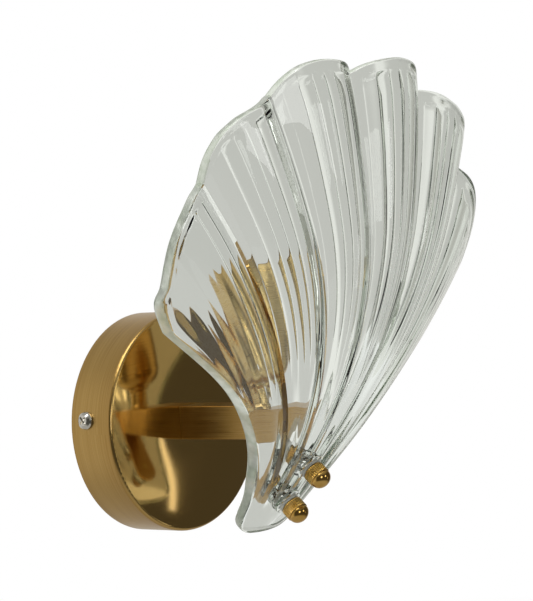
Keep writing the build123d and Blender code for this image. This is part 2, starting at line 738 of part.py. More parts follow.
def terminal_inserts():
    inserts = []
    face = facing_wall(0, BRACKET_THICK, 0)
    for up in pole_ups():
        insert = ring(wire_plane(up), BLOCK_BORE, BLOCK_BORE - INSERT_WALL,
                      -INSERT_LENGTH / 2, INSERT_LENGTH / 2)
        for side in (-1, 1):
            insert -= rod(face, TERMINAL_SCREW_RADIUS + THREAD_GAP, BLOCK_HEIGHT / 2, BLOCK_HEIGHT,
                          x=side * TERMINAL_SCREW_X, y=up)
        inserts.append(insert)
    return inserts


def terminal_screws():
    """Slotted grub screws, two to a pole, that press the wires."""
    face = facing_wall(0, BRACKET_THICK, 0)
    low = BLOCK_HEIGHT / 2 + LEAD_RADIUS + 0.05
    screws = []
    for up in pole_ups():
        for side in (-1, 1):
            x = side * TERMINAL_SCREW_X
            screw = rod(face, TERMINAL_SCREW_RADIUS, low, BLOCK_HEIGHT - 1, x=x, y=up)
            slot = extrude(face.offset(BLOCK_HEIGHT - 1.8) * Pos(x, up) * Rectangle(4, 0.5), 1)
            screws.append(screw - slot)
    return screws


def block_screw():
    face = facing_wall(0, BRACKET_THICK, block_centre_up())
    body = rod(face, BLOCK_SCREW_RADIUS, -BRACKET_THICK, 3) + rod(face, 2 * BLOCK_SCREW_RADIUS, 3, 4.8)
    return body - cross_recess(face, 4.8, 0.6, 3.2, 0.9)


# ---- Leads ----
def lead(points, bends):
    """A round lead along straight runs joined by arcs of the radii given."""
    path = FilletPolyline(*points, radius=bends)
    start = Plane(origin=path @ 0, z_dir=path % 0)
    solid = sweep(start * Circle(LEAD_RADIUS), path=path)
    expected = math.pi * LEAD_RADIUS**2 * path.length
    print(f"lead: length {path.length:.1f}, radii {bends}, volume share {solid.volume / expected:.4f}")
    return solid


def pole_start(up):
    return at(TERMINAL_SCREW_X - 1.5, block_middle_out, up)


def lead_live():
    low_pole = pole_ups()[0]
    right = 21.0
    return lead(
        (
            pole_start(low_pole),
            at(right, block_middle_out, low_pole),
            at(right, LEAD_PLANE, 0),
            at(LEAD_APART, LEAD_PLANE, 0),
            at(LEAD_APART, LAMP_OUT, 0),
            at(LEAD_APART, LAMP_OUT, lead_end_up),
        ),
        (7, 7, 7, 6.5),
    )


def lead_neutral():
    high_pole = pole_ups()[-1]
    right, below = 27.0, -15.0
    return lead(
        (
            pole_start(high_pole),
            at(right, block_middle_out, high_pole),
            at(right, block_middle_out, below),
            at(-LEAD_APART, block_middle_out, below),
            at(-LEAD_APART, LEAD_PLANE + 2, 0),
            at(-LEAD_APART, LAMP_OUT, 0),
            at(-LEAD_APART, LAMP_OUT, lead_end_up),
        ),
        (9, 9, 6.5, 6.5, 6.5),
    )


def lead_earth():
    bracket_out = BRACKET_THICK + TAG_THICK + LEAD_RADIUS
    arm_out = canopy_seat_inside - TAG_THICK - LEAD_RADIUS
    crimp = TAG_BARREL / 2 - TAG_TONGUE
    below = EARTH_LOOP_CLEAR - canopy_bore
    return lead(
        (
            at(EARTH_SCREW_X, bracket_out, crimp - M4_CLEARANCE_HOLE),
            at(EARTH_SCREW_X, bracket_out, below),
            at(0, arm_out, below),
            at(0, arm_out, crimp - NIPPLE_RADIUS - NIPPLE_HOLE_GAP),
        ),
        (9, 9),
    )


PARTS = {
    "canopy": canopy,
    "wall_bracket": wall_bracket,
    "canopy_screw_left": lambda: pan_screw(side_plane(-1), CANOPY_SCREW_LENGTH),
    "canopy_screw_right": lambda: pan_screw(side_plane(1), CANOPY_SCREW_LENGTH),
    "arm_tube": arm_tube,
    "arm_root_plug": arm_root_plug,
    "arm_nipple": arm_nipple,
    "nipple_lock_washer": nipple_lock_washer,
    "nipple_nut": nipple_nut,
    "nipple_bush": nipple_bush,
    "shell_bracket": shell_bracket,
    "glass_studs": glass_studs,
    "glass_bushes": glass_bushes,
    "glass_shell": glass_shell,
    "front_washer_upper": lambda: front_washer(stud_ys[0]),
    "front_washer_lower": lambda: front_washer(stud_ys[1]),
    "ball_nut_upper": lambda: ball_nut(stud_ys[0]),
    "ball_nut_lower": lambda: ball_nut(stud_ys[1]),
    "holder_nipple": holder_nipple,
    "holder_nipple_nut": holder_nipple_nut,
    "lampholder_collar": lampholder_collar,
    "lampholder_cup": lampholder_cup,
    "holder_body": holder_body,
    "thread_shell": thread_shell,
    "centre_contact": centre_contact,
    "holder_terminals": holder_terminals,
    "terminal_block": terminal_block,
    "terminal_inserts": terminal_inserts,
    "terminal_screws": terminal_screws,
    "block_screw": block_screw,
    "earth_screw": lambda: pan_screw(bracket_tag_face().offset(TAG_THICK), TAG_THICK + BRACKET_THICK),
    "earth_tag_bracket": lambda: ring_tag(bracket_tag_face(), M4_CLEARANCE_HOLE),
    "earth_tag_arm": lambda: ring_tag(arm_tag_face(), NIPPLE_RADIUS + NIPPLE_HOLE_GAP),
    "lead_live": lead_live,
    "lead_neutral": lead_neutral,
    "lead_earth": lead_earth,
}


def main():
    os.makedirs("parts", exist_ok=True)
    for name, make in PARTS.items():
        made = make()
        solids = made if isinstance(made, list) else [made]
        shape = Compound(label=name, children=[s for group in solids for s in group.solids()])
        export_step(shape, f"parts/{name}.step")
    seats = [clamp.from_local_coords(Vector(0, y, nut_seat)) for y in stud_ys]
    print("axis of the studs", clamp.z_dir, "seats", seats)


main()
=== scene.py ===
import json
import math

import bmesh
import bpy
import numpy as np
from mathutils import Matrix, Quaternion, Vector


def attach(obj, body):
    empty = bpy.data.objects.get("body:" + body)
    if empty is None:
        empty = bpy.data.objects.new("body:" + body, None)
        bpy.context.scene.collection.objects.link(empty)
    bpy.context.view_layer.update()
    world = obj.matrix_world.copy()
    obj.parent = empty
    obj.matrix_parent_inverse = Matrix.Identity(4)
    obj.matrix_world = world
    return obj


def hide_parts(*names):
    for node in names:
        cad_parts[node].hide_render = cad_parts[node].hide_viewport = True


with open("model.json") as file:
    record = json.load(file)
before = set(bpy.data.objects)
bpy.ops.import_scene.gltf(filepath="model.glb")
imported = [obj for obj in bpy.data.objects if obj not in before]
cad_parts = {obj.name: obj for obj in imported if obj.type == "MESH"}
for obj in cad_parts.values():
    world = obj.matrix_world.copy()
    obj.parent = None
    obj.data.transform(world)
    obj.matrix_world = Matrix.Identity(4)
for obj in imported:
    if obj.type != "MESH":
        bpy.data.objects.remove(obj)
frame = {"nodes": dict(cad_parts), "record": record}

# %% [markdown]
# # A shell wall sconce
# A fluted clear glass shell is clamped by two ball nuts to a square brass arm. The arm stands on
# a round brass canopy, and carries a small lampholder in a turned cup behind the glass. The solid
# model holds every piece at its real place. This file dresses it: it gives each piece its finish,
# and remodels the ones whose shape needs more than flat cuts and straight lofts can give.

MM = 0.001                   # the frame is in metres, and the sizes here are in millimetres
nodes, record = frame["nodes"], frame["record"]
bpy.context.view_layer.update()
slot_of = {part["node"]: part["material_slot"] for part in record["subparts"]}

# %% [markdown]
# ## Camera
# The photograph was taken from the left front with a long lens, a little above the arm. The place,
# the point aimed at and the roll come from matching the canopy's circles, the two nuts and the
# rim. A look-at rotation with a roll keeps the lens straight, so no shift is needed.

# %% Camera
CAMERA_PLACE = (-0.8407, -0.7901, 0.1055)
CAMERA_AIM = (0.0736, -0.0150, 0.0488)
CAMERA_ROLL = -4.63          # degrees, positive anticlockwise as seen from behind the camera
CAMERA_LENS, CAMERA_SENSOR = 149.9, 36.0       # mm, the sensor's along the picture's long side
GLASS_BOUNCES = 28           # light runs a long way inside the shell's edge


def looking(place, aim, roll=0.0):
    """The rotation that looks from place to aim: the direction's own track rotation, then a turn
    of roll degrees about the line of sight."""
    line = Vector(aim) - Vector(place)
    return line.to_track_quat("-Z", "Y") @ Quaternion((0, 0, 1), math.radians(roll))


scene = bpy.context.scene
scene.view_settings.view_transform = "Standard"
scene.cycles.max_bounces = scene.cycles.transmission_bounces = GLASS_BOUNCES
camera = bpy.data.objects.new("camera", bpy.data.cameras.new("camera"))
scene.collection.objects.link(camera)
scene.camera = camera
camera.location = CAMERA_PLACE
camera.rotation_mode = "QUATERNION"
camera.rotation_quaternion = looking(CAMERA_PLACE, CAMERA_AIM, CAMERA_ROLL)
camera.data.lens, camera.data.sensor_width = CAMERA_LENS, CAMERA_SENSOR
camera.data.clip_start, camera.data.clip_end = 0.05, 20.0
print("camera", round(math.dist(CAMERA_PLACE, CAMERA_AIM), 2), "m from the point it looks at")

# %% [markdown]
# ## Colours and nodes
# Colours are written as they look on a screen, and a shader wants them linear. One function turns
# the hex value over. One more adds a node: its settings are attributes, and its inputs are either
# values or the sockets that feed them. Two nodes come up all the time, the one that stretches a
# value's range and the one that blends two colours, so each has a function of its own.

# %% Colours and nodes


def linear(hex_colour):
    """The linear RGBA of a hex colour: each share s becomes ((s + 0.055) / 1.055) ** 2.4, or
    s / 12.92 when it is very dark."""
    shares = [int(hex_colour[i:i + 2], 16) / 255 for i in (1, 3, 5)]
    return (*[s / 12.92 if s <= 0.04045 else ((s + 0.055) / 1.055) ** 2.4 for s in shares], 1.0)


def add(tree, kind, inputs=None, **settings):
    """Adds a node to a tree, with attributes from settings, and sockets set or linked."""
    node = tree.nodes.new(kind)
    for name, value in settings.items():
        setattr(node, name, value)
    for name, value in (inputs or {}).items():
        if isinstance(value, bpy.types.NodeSocket):
            tree.links.new(value, node.inputs[name])
        else:
            node.inputs[name].default_value = value
    return node


def ranged(tree, value, start, full, low=0.0, high=1.0, **settings):
    """A value that goes from low to high while another goes from start to full."""
    return add(tree, "ShaderNodeMapRange", {"Value": value, "From Min": start, "From Max": full,
                                            "To Min": low, "To Max": high}, **settings).outputs[0]


def smooth_step(tree, value, start, full):
    """0 up to start and 1 from full on, with no corner at either."""
    return ranged(tree, value, start, full, interpolation_type="SMOOTHSTEP")


def blend(tree, share, first, second):
    """The colour that goes from first to second while share goes from 0 to 1."""
    return add(tree, "ShaderNodeMix", {"Factor": share, 6: first, 7: second},
               data_type="RGBA").outputs[2]


def material(name, **constants):
    """A new material: its tree, its Principled shader with constants by socket name, and the
    socket with the object's own coordinates."""
    made = bpy.data.materials.new(name)
    made.use_nodes = True
    tree = made.node_tree
    tree.nodes.clear()
    shader = add(tree, "ShaderNodeBsdfPrincipled",
                 {key.replace("_", " "): value for key, value in constants.items()})
    add(tree, "ShaderNodeOutputMaterial", {"Surface": shader.outputs["BSDF"]})
    place = add(tree, "ShaderNodeTexCoord").outputs["Object"]
    return made, tree, shader, place


print("middle grey on a screen is", round(linear("#808080")[0], 3), "of white's light")

# %% [markdown]
# ## Studio
# What is seen directly round the light is pure white. Through the glass a light grey card shows,
# with brighter light to all sides of it that the ribs pull in as white lines. The brass is dark in
# the places that mirror the dim front of the room. So the world is white for the camera, the card
# and the light round it for what is seen through glass, and for everything else a room: a bright
# wall behind the light, a dim front, a grey floor and ceiling. Direction is all it reads, so it
# stays put when the camera moves.

# %% World
WHITE = (1.0, 1.0, 1.0, 1.0)
ROOM_FRONT = "#55534d"
ROOM_PARTS = (               # axis of the direction, where on it the part starts and is full, colour
    ("Y", -0.15, 0.35, "#d2d0cb"),             # the bright wall behind
    ("Z", 0.35, 0.75, "#a7a6a2"),              # the ceiling
    ("Z", -0.42, -0.7, "#b5b3ad"))             # the floor
CARD_WAY, CARD_COLOUR = (0.762, 0.646, -0.047), "#cbcbc7"
CARD_INNER, CARD_OUTER = 9.0, 15.0             # degrees off its middle, where it starts to end and ends
AROUND_CARD, FRONT_THROUGH = "#f2f2ee", "#b0aea8"
FRONT_FADE = (-0.5, 0.2)                       # along Y, where the second of these becomes the first


def studio_world():
    """The light from each direction, for each kind of ray. Every border is a smooth step: of one
    axis in the room, and for the card of the cosine of the angle off its middle."""
    world = bpy.data.worlds.new("studio")
    scene.world = world
    world.use_nodes = True
    tree = world.node_tree
    tree.nodes.clear()
    direction = add(tree, "ShaderNodeTexCoord").outputs["Generated"]
    axes = add(tree, "ShaderNodeSeparateXYZ", {0: direction}).outputs
    room = linear(ROOM_FRONT)
    for axis, start, full, colour in ROOM_PARTS:
        room = blend(tree, smooth_step(tree, axes[axis], start, full), room, linear(colour))
    facing = add(tree, "ShaderNodeVectorMath", {0: direction, 1: CARD_WAY}, operation="DOT_PRODUCT")
    on_card = smooth_step(tree, facing.outputs["Value"], math.cos(math.radians(CARD_OUTER)),
                          math.cos(math.radians(CARD_INNER)))
    ahead = smooth_step(tree, axes["Y"], *FRONT_FADE)
    around = blend(tree, ahead, linear(FRONT_THROUGH), linear(AROUND_CARD))
    card = blend(tree, on_card, around, linear(CARD_COLOUR))
    rays = add(tree, "ShaderNodeLightPath").outputs
    through = blend(tree, rays["Is Transmission Ray"], room, card)
    seen = blend(tree, rays["Is Camera Ray"], through, WHITE)
    background = add(tree, "ShaderNodeBackground", {"Color": seen, "Strength": 1.0})
    add(tree, "ShaderNodeOutputWorld", {"Surface": background.outputs[0]})


studio_world()
print("studio world of", len(scene.world.node_tree.nodes), "nodes")

# %% [markdown]
# ## Lamps
# Two soft boxes, one at the left front and one a little to the right, give each ball nut its two
# highlights. The canopy's face mirrors a tall narrow strip, low on the right, as an upright streak.
# A wide box overhead lights the rest.

# %% Lamps
# name: (azimuth in degrees from the front, positive to the right, height, distance, width, tall, watts)
LAMPS = {
    "front_box": (-27, 0.10, 1.3, 0.34, 0.34, 1.1),
    "right_box": (16, 0.12, 1.3, 0.26, 0.26, 0.6),
    "right_strip": (42, -0.30, 1.3, 0.04, 0.32, 0.075),
    "overhead": (-70, 1.20, 0.5, 0.90, 0.90, 9.0),
}
LAMPS_AIM = (0.0, -0.06, 0.03)

for name, (azimuth, height, distance, wide, tall, watts) in LAMPS.items():
    lamp = bpy.data.lights.new(name, "AREA")
    lamp.shape, lamp.size, lamp.size_y, lamp.energy = "RECTANGLE", wide, tall, watts
    holder = bpy.data.objects.new(name, lamp)
    turn = math.radians(azimuth)
    holder.location = (distance * math.sin(turn), -distance * math.cos(turn), height)
    holder.rotation_mode = "QUATERNION"
    holder.rotation_quaternion = looking(holder.location, LAMPS_AIM)
    scene.collection.objects.link(holder)
print(len(LAMPS), "lamps")

# %% [markdown]
# ## Floor
# The light hangs on a wall, so the floor is only a pale disc some way below it that catches a
# soft shadow in the views from above. It glows more towards its edge, and so fades into the white
# around it.

# %% Floor
FLOOR_RADIUS, FLOOR_MIDDLE = 0.45, (0.0, -0.07, -0.16)
FLOOR_RINGS, FLOOR_SPOKES = 11, 64
FLOOR_FADE, FLOOR_GLOW = (0.6, 0.98), 0.55     # shares of the radius, and the glow within the first


def floor_disc():
    """A disc of points in rings: radius from 0 to the edge, angle round the whole circle."""
    ring, angle = np.meshgrid(np.linspace(0.0, FLOOR_RADIUS, FLOOR_RINGS + 1)[1:],
                              np.linspace(0, 2 * math.pi, FLOOR_SPOKES, endpoint=False), indexing="ij")
    points = np.stack([ring * np.cos(angle), ring * np.sin(angle), np.zeros(ring.shape)], -1)
    points = (points + FLOOR_MIDDLE).reshape(-1, 3)
    number = np.arange(ring.size).reshape(ring.shape)
    across = np.roll(number, -1, axis=1)
    faces = np.stack([number[:-1], number[1:], across[1:], across[:-1]], -1).reshape(-1, 4).tolist()
    faces.append(number[0].tolist())
    mesh = bpy.data.meshes.new("floor")
    mesh.from_pydata(points.tolist(), [], faces)
    floor = bpy.data.objects.new("floor", mesh)
    scene.collection.objects.link(floor)
    made, tree, shader, place = material("matt_white_floor", Base_Color=linear("#ececea"), Roughness=0.9)
    middle = add(tree, "ShaderNodeVectorMath", {0: place, 1: FLOOR_MIDDLE}, operation="DISTANCE")
    edge = ranged(tree, middle.outputs["Value"], FLOOR_FADE[0] * FLOOR_RADIUS,
                  FLOOR_FADE[1] * FLOOR_RADIUS, FLOOR_GLOW, 1.0)
    glow = add(tree, "ShaderNodeEmission", {"Color": WHITE, "Strength": 1.0})
    rays = add(tree, "ShaderNodeLightPath").outputs
    lit = add(tree, "ShaderNodeMath", {0: rays["Is Camera Ray"], 1: rays["Is Transmission Ray"]},
              operation="MAXIMUM")
    share = add(tree, "ShaderNodeMath", {0: edge, 1: lit.outputs[0]}, operation="MULTIPLY")
    both = add(tree, "ShaderNodeMixShader", {0: share.outputs[0], 1: shader.outputs[0], 2: glow.outputs[0]})
    tree.links.new(both.outputs[0], tree.nodes["Material Output"].inputs["Surface"])
    mesh.materials.append(made)
    floor.visible_glossy = False         # the canopy mirrors the room, not the disc


floor_disc()
print("floor disc", 2 * FLOOR_RADIUS, "m across")

# %% [markdown]
# ## Brass
# Every brass piece is the same alloy, and the surface differs. The colour is one, but for the turned
# cup and collar: their paler brass is painted light, the lit look of the cup painted into its colour.
# Satin brass is brushed with a fine belt and lacquered: it has long parallel scratches, here drawn
# about half a millimetre apart so that they show, and a blurred shine. Polished brass was buffed and
# mirrors the room. Raw brass inside is dull from turning. A metal keeps the shader's default IOR.

# %% Brass colours
# The pale brass is painted light: the lit look of the turned cup, painted into its colour.
BRASS, BRASS_DEEP, BRASS_PAINTED_LIT = "#c8a562", "#ad8746", "#e3cb93"
CLOUD_SCALE, CLOUD_SHARE = 60.0, 0.35          # clouds a metre, and their part in the colour


def tones(tree, source, low, high, start=0.35, stop=0.65):
    """A colour that runs from low to high as a pattern's value runs from start to stop."""
    return blend(tree, ranged(tree, source, start, stop), linear(low), linear(high))


def brushed(tree, shader, place, stretch, tint=(BRASS_DEEP, BRASS), rough=(0.26, 0.4), depth=0.06):
    """Parallel scratches: noise whose coordinates are squeezed by stretch along each axis, so it
    runs long where a factor is small. The same noise moves colour, roughness and height."""
    squeezed = add(tree, "ShaderNodeVectorMath", {0: place, 1: stretch}, operation="MULTIPLY")
    scratch = add(tree, "ShaderNodeTexNoise", {"Vector": squeezed.outputs[0], "Scale": 1.0, "Detail": 4.0,
                                               "Roughness": 0.6}).outputs["Fac"]
    cloud = add(tree, "ShaderNodeTexNoise", {"Vector": place, "Scale": CLOUD_SCALE, "Detail": 2.0})
    pattern = add(tree, "ShaderNodeMix", {"Factor": CLOUD_SHARE, 2: scratch, 3: cloud.outputs["Fac"]})
    colour = tones(tree, pattern.outputs[0], *tint)
    roughness = ranged(tree, scratch, 0.3, 0.7, *rough)
    bump = add(tree, "ShaderNodeBump", {"Height": scratch, "Strength": depth, "Distance": 0.2 * MM})
    tree.links.new(colour, shader.inputs["Base Color"])
    tree.links.new(roughness, shader.inputs["Roughness"])
    tree.links.new(bump.outputs[0], shader.inputs["Normal"])
    return colour, roughness, bump


print("brass gives back", [round(share, 2) for share in linear(BRASS)[:3]], "of red, green and blue")

# %% [markdown]
# The arm and the bracket were brushed along their length. The canopy was spun: its band carries
# scratches that run round it, and its face was buffed brighter, with faint rings. So the canopy's
# pattern reads the radius from the Y axis and the distance from the wall, and hardly the angle.

# %% Satin brass of the arm, and of the spun canopy
SCRATCH_SPACING, SCRATCH_LENGTH = 0.5, 30.0    # mm
FINE, LONG = 1 / (SCRATCH_SPACING * MM), 1 / (SCRATCH_LENGTH * MM)
CANOPY_SHOULDER = 23.0       # mm from the wall, where the brushed band gives way to the buffed face
SHOULDER_BLEND = 1.0         # mm
ROUND_SHARE = 0.0004         # metres a radian, so that the pattern hardly changes round the axis
FACE_ROUGHNESS, BAND_BUMP, FACE_BUMP = 0.09, 0.05, 0.008


def satin(name, stretch, **marks):
    """Brushed and lacquered brass: long scratches that blur the shine across them, under a thin
    clear coat that adds a faint sharper one."""
    made, tree, shader, place = material(name, Metallic=1.0, Coat_Weight=0.25, Coat_Roughness=0.12)
    brushed(tree, shader, place, stretch, **marks)
    return made


def spun_brass():
    """Brass spun on a lathe: a band with a silky shine from scratches that run round it, and a
    face buffed until it mirrors the room, with rings too faint to break the mirror."""
    made, tree, shader, place = material("spun_brass_canopy", Metallic=1.0, Coat_Weight=0.3,
                                         Coat_Roughness=0.08)
    axes = add(tree, "ShaderNodeSeparateXYZ", {0: place}).outputs
    flat = add(tree, "ShaderNodeCombineXYZ", {0: axes["X"], 1: axes["Z"]})
    radius = add(tree, "ShaderNodeVectorMath", {0: flat.outputs[0]}, operation="LENGTH")
    angle = add(tree, "ShaderNodeMath", {0: axes["Z"], 1: axes["X"]}, operation="ARCTAN2")
    slow = add(tree, "ShaderNodeMath", {0: angle.outputs[0], 1: ROUND_SHARE}, operation="MULTIPLY")
    round_it = add(tree, "ShaderNodeCombineXYZ", {0: radius.outputs["Value"], 1: axes["Y"],
                                                  2: slow.outputs[0]})
    colour, roughness, bump = brushed(tree, shader, round_it.outputs[0], (FINE, FINE, FINE),
                                      rough=(0.3, 0.42), depth=BAND_BUMP)
    face = ranged(tree, axes["Y"], -CANOPY_SHOULDER * MM, -(CANOPY_SHOULDER + SHOULDER_BLEND) * MM)
    buffed = add(tree, "ShaderNodeMix", {"Factor": face, 2: roughness, 3: FACE_ROUGHNESS})
    tree.links.new(buffed.outputs[0], shader.inputs["Roughness"])
    tree.links.new(ranged(tree, face, 0.0, 1.0, BAND_BUMP, FACE_BUMP), bump.inputs["Strength"])
    tree.links.new(blend(tree, face, colour, linear(BRASS)), shader.inputs["Base Color"])
    return made


print("scratches", SCRATCH_SPACING, "mm apart and about", SCRATCH_LENGTH, "mm long")

# %% [markdown]
# ## The small finishes
# Smooth metals first: the polished nuts, raw brass, nickel-plated screws, zinc-plated steel and
# tinned copper tags. Then what isn't metal: the white plastic of the terminal block, the dark resin
# of the lampholder, silicone, and the PVC of the three leads. The earth lead is green with yellow
# stripes, wound round it, so its pattern is a wave.

# %% The small finishes
METAL_GRAIN, PLASTIC_GRAIN = 250.0, 400.0      # spots a metre


def smooth_metal(name, low, high, rough):
    """A metal with a faint cloudy change of colour and roughness, so that its shine isn't even."""
    made, tree, shader, place = material(name, Metallic=1.0)
    cloud = add(tree, "ShaderNodeTexNoise", {"Vector": place, "Scale": METAL_GRAIN, "Detail": 4.0})
    tree.links.new(tones(tree, cloud.outputs["Fac"], low, high), shader.inputs["Base Color"])
    worn = ranged(tree, cloud.outputs["Fac"], 0.3, 0.7, 0.7 * rough, 1.3 * rough)
    tree.links.new(worn, shader.inputs["Roughness"])
    return made


def moulded(name, low, high, rough, grain=PLASTIC_GRAIN, **constants):
    """A moulded plastic: two close colours and a fine skin in the roughness and the bump."""
    made, tree, shader, place = material(name, IOR=1.46, **constants)
    skin = add(tree, "ShaderNodeTexNoise", {"Vector": place, "Scale": grain, "Detail": 3.0}).outputs["Fac"]
    tree.links.new(tones(tree, skin, low, high), shader.inputs["Base Color"])
    tree.links.new(ranged(tree, skin, 0.0, 1.0, 0.8 * rough, 1.2 * rough), shader.inputs["Roughness"])
    bump = add(tree, "ShaderNodeBump", {"Height": skin, "Strength": 0.15, "Distance": 0.1 * MM})
    tree.links.new(bump.outputs[0], shader.inputs["Normal"])
    return made


def striped_lead():
    """Glossy PVC in two colours: a slanting wave, cut hard, gives yellow stripes on green."""
    made, tree, shader, place = material("green_yellow_pvc", IOR=1.53, Roughness=0.35)
    wave = add(tree, "ShaderNodeTexWave", {"Vector": place, "Scale": 95.0}, bands_direction="DIAGONAL")
    tree.links.new(tones(tree, wave.outputs["Fac"], "#2f7d33", "#d9cf3a", 0.55, 0.6),
                   shader.inputs["Base Color"])
    return made


finishes = {
    "satin_brass": satin("satin_brass_brushed", (FINE, LONG, FINE)),
    # The turned cup and collar: a paler brass, painted light standing in for the light that falls on them.
    "turned_brass_painted_lit": satin("satin_brass_turned_painted_lit", (LONG, LONG, FINE), tint=(BRASS, BRASS_PAINTED_LIT),
                          rough=(0.24, 0.36), depth=0.02),
    "spun_brass": spun_brass(),
    "polished_brass": smooth_metal("polished_brass", "#c39a4e", "#cfa962", 0.09),
    "raw_brass": smooth_metal("raw_brass", "#b0914e", "#c8aa66", 0.3),
    "nickel": smooth_metal("nickel_plate", "#c9c6bf", "#dedbd4", 0.14),
    "zinc_steel": smooth_metal("zinc_plated_steel", "#a9adb0", "#c4c6c4", 0.3),
    "tinned_copper": smooth_metal("tinned_copper", "#b6b2a8", "#cfccc2", 0.28),
    "white_plastic": moulded("white_polyamide", "#dcdad2", "#e6e4dd", 0.4),
    "holder_resin": moulded("dark_phenolic_resin", "#17130f", "#221c17", 0.35),
    "brown_lead": moulded("brown_pvc", "#4a2b18", "#56341f", 0.35),
    "blue_lead": moulded("blue_pvc", "#1f4f9c", "#285ba9", 0.35),
    "earth_lead": striped_lead(),
}
print(len(finishes), "finishes so far")

# %% [markdown]
# ## Glass
# Pressed soda-lime glass with a faint green cast. It is clear straight through the wall, and
# darker and greener where light runs a long way inside it: the surface has hardly a tint, and the
# rest is absorbed along the way. Transmission, IOR and colour are constants on the shader. The
# narrow face along the rim is a finish of its own. Silicone is a cloudier cousin.

# %% Glass and silicone
GLASS_TINT = "#f8faf7"
GLASS_DEPTH_COLOUR = "#b9cdb9"
GLASS_DENSITY = 14.0         # per metre of glass


def pressed_glass():
    """Clear glass with a very slight ripple, which keeps its mirror images from being perfect."""
    made, tree, shader, place = material("pressed_clear_glass", Base_Color=linear(GLASS_TINT), IOR=1.5,
                                         Roughness=0.0, Transmission_Weight=1.0)
    ripple = add(tree, "ShaderNodeTexNoise", {"Vector": place, "Scale": 70.0, "Detail": 1.0})
    bump = add(tree, "ShaderNodeBump", {"Height": ripple.outputs["Fac"], "Strength": 0.05,
                                        "Distance": 1.0 * MM})
    tree.links.new(bump.outputs[0], shader.inputs["Normal"])
    depth = add(tree, "ShaderNodeVolumeAbsorption", {"Color": linear(GLASS_DEPTH_COLOUR),
                                                     "Density": GLASS_DENSITY})
    tree.links.new(depth.outputs[0], tree.nodes["Material Output"].inputs["Volume"])
    return made


def fire_polished_edge():
    """Light that has run through the wall comes out of its edge softly, so the edge is partly
    a pale green scattering surface."""
    made, tree, shader, place = material("fire_polished_edge", IOR=1.5, Roughness=0.22,
                                         Transmission_Weight=0.4)
    cloud = add(tree, "ShaderNodeTexNoise", {"Vector": place, "Scale": 180.0, "Detail": 3.0})
    tree.links.new(tones(tree, cloud.outputs["Fac"], "#cdd9c6", "#f0f6ec"), shader.inputs["Base Color"])
    return made


finishes["clear_glass"] = pressed_glass()
finishes["glass_edge"] = fire_polished_edge()
finishes["clear_silicone"] = moulded("clear_silicone", "#eef0ec", "#f6f8f4", 0.12, grain=300.0,
                                     Transmission_Weight=0.55)
print(len(finishes), "finishes in all")

# %% [markdown]
# ## The shell's lines
# Everything on the shell fans out from its root near the clamp. A place is counted in lobes from
# the middle line: 0 is the middle valley, 1 the next, 1.5 the middle of the lobe after that. A
# place and a height give a point: the place's line says how far to the side, one parabola how far
# out the middle line stands, and another how far the shell falls back to the sides.

# %% The shell's lines
REACH, BELLY_UP = 138.7, 87.3                  # where the valleys' surface stands furthest out
LOWER_RADIUS, UPPER_RADIUS = 128.2, 416.7      # of the middle line, below and above that height
SIDE_RADIUS, TAB_SIDE_RADIUS, SAG_FADE = 416.7, 43.5, 62.0     # crosswise, and how soon the tab's fades
TAB_UP, TAB_HALF_WIDTH = -50.0, 14.5
FAN_UP, FAN_SOFTNESS, LOBE_ANGLE, LOBES_A_SIDE = -20.8, 23.5, 15.4, 3
BULGE_TAB, BULGE_RIM, BULGE_DISTANCE = 1.5, 9.5, 160.0
LAST_SPREAD = 1.47           # lobes that the last one would be wide, if the rim didn't cut it
WALL = 4.6
STUD_MIDDLE_UP, STUD_SPACING = -27.8, 21.0
TAB_END, TAB_CORNER = 31.0, 10.5
TIP_PLACE, TIP_UP = 3.14, 47.5
NEWTON_STEPS = 6
RIM_LOBES = (                # (place, height) along the rim, lobe by lobe
    ((0, 148.8), (0.12, 151.8), (0.35, 154.1), (0.6, 153.8), (0.78, 151.0), (0.9, 146.3), (1, 140.8)),
    ((1, 140.8), (1.12, 139.8), (1.35, 135.8), (1.6, 130.6), (1.78, 124.2), (1.9, 116.2), (2, 107.0)),
    ((2, 107.0), (2.25, 100.3), (2.6, 85.2), (2.9, 67.2), (3.08, 55.8), (TIP_PLACE, TIP_UP)))
LOWER_EDGE = (               # (height, distance from the middle), from the tab's foot to near the tip
    (-60.0, 16.5), (-42.6, 19.3), (-34.0, 22.1), (-19.0, 29.4), (-2.0, 40.6), (17.0, 57.1))


def fan(up):
    """Distance from the fan's root: half of the rise plus the rise softened as a hypotenuse."""
    rise = up - FAN_UP
    return (np.hypot(rise, FAN_SOFTNESS) + rise) / 2


def side(place, up):
    """How far to the side a place's line lies at a height: a share of the tab's width, plus the
    tangent of the lobe angle times the place, times the fan's distance."""
    return TAB_HALF_WIDTH * place / LOBES_A_SIDE + np.tan(np.radians(LOBE_ANGLE * place)) * fan(up)


def place_of(x, up):
    """The place whose line passes x at a height, by Newton's steps on the formula above."""
    place = x / (TAB_HALF_WIDTH / LOBES_A_SIDE + math.radians(LOBE_ANGLE) * fan(up))
    for _ in range(NEWTON_STEPS):
        lean = np.radians(LOBE_ANGLE * place)
        slope = TAB_HALF_WIDTH / LOBES_A_SIDE + math.radians(LOBE_ANGLE) * fan(up) / np.cos(lean) ** 2
        place = place - (side(place, up) - x) / slope
    return place


def valley_out(x, up):
    """How far the valleys' surface stands from the wall: the middle line's parabola, less the
    square of x over twice the crosswise radius, which is shorter near the tab."""
    radius = np.where(up < BELLY_UP, LOWER_RADIUS, UPPER_RADIUS)
    curve = 1 / (2 * SIDE_RADIUS) + np.exp((TAB_UP - up) / SAG_FADE) / (2 * TAB_SIDE_RADIUS)
    return REACH - (up - BELLY_UP) ** 2 / (2 * radius) - curve * x**2


def bulge(x, up):
    """How far a lobe stands out of the valleys: it grows with the distance from the fan's root."""
    share = np.minimum(np.hypot(x, up - FAN_UP) / BULGE_DISTANCE, 1.0)
    return BULGE_TAB + (BULGE_RIM - BULGE_TAB) * share**1.5


